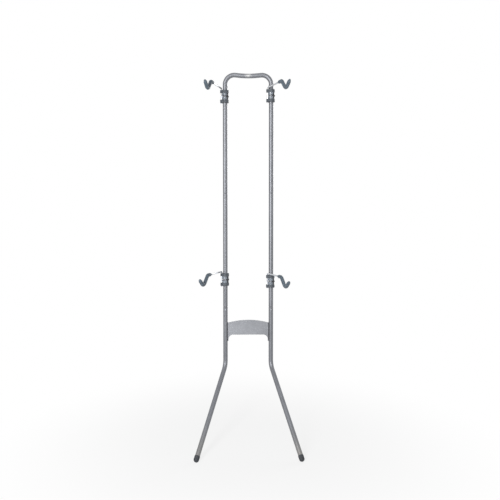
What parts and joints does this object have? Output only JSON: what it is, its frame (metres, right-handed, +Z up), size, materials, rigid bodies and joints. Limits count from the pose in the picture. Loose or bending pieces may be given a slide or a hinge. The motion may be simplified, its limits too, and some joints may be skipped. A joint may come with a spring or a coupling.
{
  "type": "two tier bike rack",
  "caption": "Tall tubular rack that leans on a wall, with swinging, height-adjustable arms whose covered cradles hold one bike above another.",
  "frame": {"origin": "on the floor, in the middle of the rack's width and depth", "axes": "+X right seen from the room, +Y towards the wall, +Z up"},
  "size_m": [0.56, 0.457, 2.032],
  "materials": {
    "frame_tube": "fine silver-grey powder coat, satin",
    "plate_paint": "fine silver-grey powder coat, satin",
    "fastener_steel": "zinc plated",
    "spring_steel": "oiled spring steel",
    "collar_plastic": "moulded nylon, blue-grey, fine texture",
    "spine_steel": "near-black coat",
    "rod_steel": "bright zinc plated",
    "cover_rubber": "soft moulded sleeve, blue-grey",
    "cap_rubber": "dark rubber",
    "bumper_rubber": "dark rubber"
  },
  "bodies": {
    "frame": {"top_frame": "frame_tube", "brace_plate": "plate_paint", "post_left": "frame_tube", "leg_left": "frame_tube", "foot_cap_left": "cap_rubber", "wall_stud_left": "fastener_steel", "wall_bumper_left": "bumper_rubber", "plate_screws_left": "fastener_steel", "snap_button_upper_left": "fastener_steel", "snap_spring_upper_left": "spring_steel", "snap_button_lower_left": "fastener_steel", "snap_spring_lower_left": "spring_steel", "post_right": "frame_tube", "leg_right": "frame_tube", "foot_cap_right": "cap_rubber", "wall_stud_right": "fastener_steel", "wall_bumper_right": "bumper_rubber", "plate_screws_right": "fastener_steel", "snap_button_upper_right": "fastener_steel", "snap_spring_upper_right": "spring_steel", "snap_button_lower_right": "fastener_steel", "snap_spring_lower_right": "spring_steel"},
    "clamp_upper_left": {"collar_lower_upper_left": "collar_plastic", "collar_upper_upper_left": "collar_plastic", "spine_upper_left": "spine_steel", "spine_pins_upper_left": "fastener_steel", "lock_screw_upper_left": "fastener_steel"},
    "arm_upper_left": {"arm_rod_upper_left": "rod_steel", "cradle_cover_upper_left": "cover_rubber", "thrust_collar_upper_left": "rod_steel", "pivot_clip_upper_left": "spring_steel"},
    "clamp_upper_right": {"collar_lower_upper_right": "collar_plastic", "collar_upper_upper_right": "collar_plastic", "spine_upper_right": "spine_steel", "spine_pins_upper_right": "fastener_steel", "lock_screw_upper_right": "fastener_steel"},
    "arm_upper_right": {"arm_rod_upper_right": "rod_steel", "cradle_cover_upper_right": "cover_rubber", "thrust_collar_upper_right": "rod_steel", "pivot_clip_upper_right": "spring_steel"},
    "clamp_lower_left": {"collar_lower_lower_left": "collar_plastic", "collar_upper_lower_left": "collar_plastic", "spine_lower_left": "spine_steel", "spine_pins_lower_left": "fastener_steel", "lock_screw_lower_left": "fastener_steel"},
    "arm_lower_left": {"arm_rod_lower_left": "rod_steel", "cradle_cover_lower_left": "cover_rubber", "thrust_collar_lower_left": "rod_steel", "pivot_clip_lower_left": "spring_steel"},
    "clamp_lower_right": {"collar_lower_lower_right": "collar_plastic", "collar_upper_lower_right": "collar_plastic", "spine_lower_right": "spine_steel", "spine_pins_lower_right": "fastener_steel", "lock_screw_lower_right": "fastener_steel"},
    "arm_lower_right": {"arm_rod_lower_right": "rod_steel", "cradle_cover_lower_right": "cover_rubber", "thrust_collar_lower_right": "rod_steel", "pivot_clip_lower_right": "spring_steel"}
  },
  "joints": [
    {"name": "upper_left_height", "type": "slide", "parent": "frame", "child": "clamp_upper_left", "axis": [0, 0, 1], "range_m": [-0.44, 0.01]},
    {"name": "upper_left_swing", "type": "hinge", "parent": "clamp_upper_left", "child": "arm_upper_left", "pos_m": [-0.1485, 0.1535, 1.865], "axis": [0, 0, 1], "range_deg": [-74.5, 30.5]},
    {"name": "upper_right_height", "type": "slide", "parent": "frame", "child": "clamp_upper_right", "axis": [0, 0, 1], "range_m": [-0.44, 0.01]},
    {"name": "upper_right_swing", "type": "hinge", "parent": "clamp_upper_right", "child": "arm_upper_right", "pos_m": [0.1085, 0.1535, 1.8705], "axis": [0, 0, 1], "range_deg": [-36, 9]},
    {"name": "lower_left_height", "type": "slide", "parent": "frame", "child": "clamp_lower_left", "axis": [0, 0, 1], "range_m": [-0.11, 0.35]},
    {"name": "lower_left_swing", "type": "hinge", "parent": "clamp_lower_left", "child": "arm_lower_left", "pos_m": [-0.1485, 0.1535, 0.8428], "axis": [0, 0, 1], "range_deg": [-68, 37]},
    {"name": "lower_right_height", "type": "slide", "parent": "frame", "child": "clamp_lower_right", "axis": [0, 0, 1], "range_m": [-0.11, 0.35]},
    {"name": "lower_right_swing", "type": "hinge", "parent": "clamp_lower_right", "child": "arm_lower_right", "pos_m": [0.1085, 0.1535, 0.8322], "axis": [0, 0, 1], "range_deg": [-36, 9]}
  ]
}
